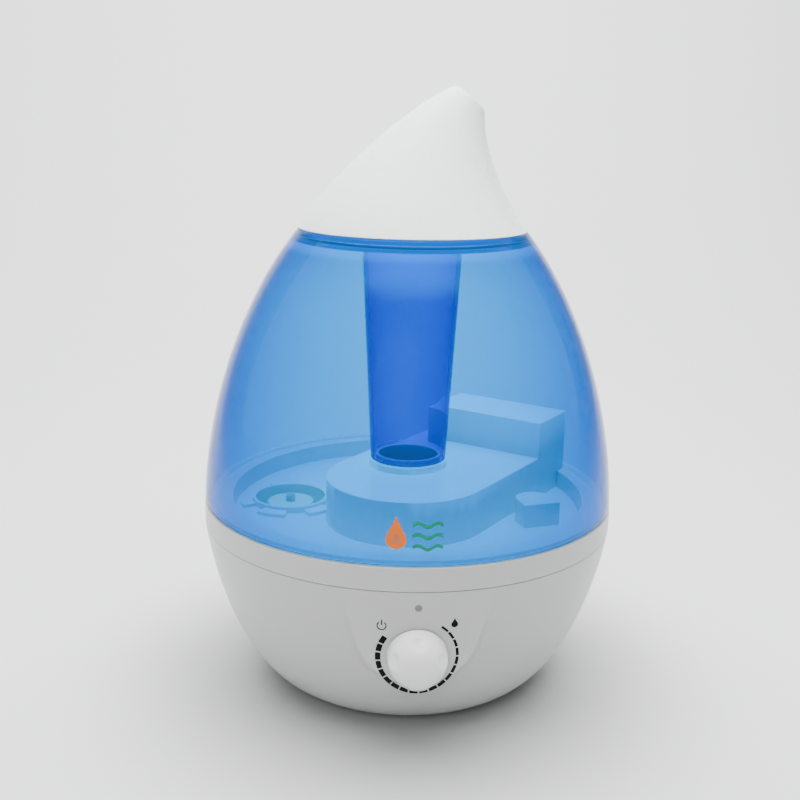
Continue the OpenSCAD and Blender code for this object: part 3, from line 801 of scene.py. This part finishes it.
def studio_floor(bend_steps=16):
    """A flat floor that bends up behind the object into a wall."""
    sweep = [(FRONT_Y, 0.0), (-1.0, 0.0), (0.0, 0.0), (BEND_Y, 0.0)]
    for k in range(1, bend_steps + 1):
        a = k * math.pi / 2 / bend_steps
        sweep.append((BEND_Y + BEND_R * math.sin(a), BEND_R * (1 - math.cos(a))))
    sweep.append((BEND_Y + BEND_R, WALL_TOP))
    verts = [(x, y, z) for y, z in sweep for x in (-HALF_WIDTH, HALF_WIDTH)]
    me = bpy.data.meshes.new("studio_floor")
    me.from_pydata(verts, [], [(i, i + 1, i + 3, i + 2) for i in range(0, len(verts) - 2, 2)])
    me.materials.append(paper_material())
    me.shade_smooth()
    obj = bpy.data.objects.new("studio_floor", me)
    bpy.context.scene.collection.objects.link(obj)


def studio_world():
    """Dim in front of the object, bright behind it."""
    world = bpy.data.worlds.new("studio")
    world.use_nodes = True
    tree = world.node_tree
    background = tree.nodes["Background"]
    direction = tree.nodes.new("ShaderNodeTexCoord")
    toward_back = axis_of(tree, direction.outputs["Generated"], "Y")
    strength = mapped(tree, toward_back, 0.22, 1.5, -0.1, 0.9, "SMOOTHSTEP")
    tree.links.new(strength, background.inputs["Strength"])
    background.inputs["Color"].default_value = (0.985, 1.0, 1.0, 1)
    bpy.context.scene.world = world


def softbox(name, loc, target, size, power, seen=True):
    """A rectangular light. seen is False where its own reflection isn't wanted."""
    light = bpy.data.lights.new(name, "AREA")
    light.shape = "RECTANGLE"
    light.size, light.size_y = size
    light.energy = power
    obj = bpy.data.objects.new(name, light)
    obj.location = loc
    obj.rotation_euler = (Vector(target) - Vector(loc)).to_track_quat("-Z", "Y").to_euler()
    obj.visible_glossy = seen
    bpy.context.scene.collection.objects.link(obj)
    return obj


studio_floor()
studio_world()
softbox("top_light", (0.0, -0.05, 0.80), (0, 0, 0.1), (0.9, 0.9), 22.0, seen=False)
softbox("key_light", (-0.25, -1.1, 0.75), (0, 0, 0.12), (0.5, 0.5), 6.0, seen=False)
softbox("back_light", (0.0, 0.9, 1.5), (0, 1.9, 0.3), (2.6, 0.8), 90.0, seen=False)
crown_lights = [softbox("front_light", (-0.10, -0.95, 0.62), (0, 0, 0.1), (0.04, 0.04), 0.5),
                softbox("crown_light", (-0.06, -0.19, 0.30), (0, -0.1, 0.06), (0.06, 0.06), 0.13)]
glossy_parts = bpy.data.collections.new("glossy_parts")      # these two light nothing but the knob's crown
glossy_parts.objects.link(bpy.data.objects["knob_dome"])
for crown_light in crown_lights:
    crown_light.light_linking.receiver_collection = glossy_parts

EYE = Vector((-0.0332, -0.559 + AXIS_Y, 0.2889))
YAW, PITCH, ROLL = math.radians(2.914), 0.2488, 0.0196
cam = bpy.data.cameras.new("camera")
cam.lens = 50.36
cam.sensor_width = 36.0
cam_obj = bpy.data.objects.new("camera", cam)
bpy.context.scene.collection.objects.link(cam_obj)
bpy.context.scene.camera = cam_obj
look = Vector((math.sin(YAW) * math.cos(PITCH), math.cos(YAW) * math.cos(PITCH), -math.sin(PITCH)))
level = look.cross(Vector((0, 0, 1))).normalized()
right = math.cos(ROLL) * level + math.sin(ROLL) * level.cross(look)
turn = Matrix((right, right.cross(look), -look)).transposed()
cam_obj.matrix_world = Matrix.Translation(EYE) @ turn.to_4x4()
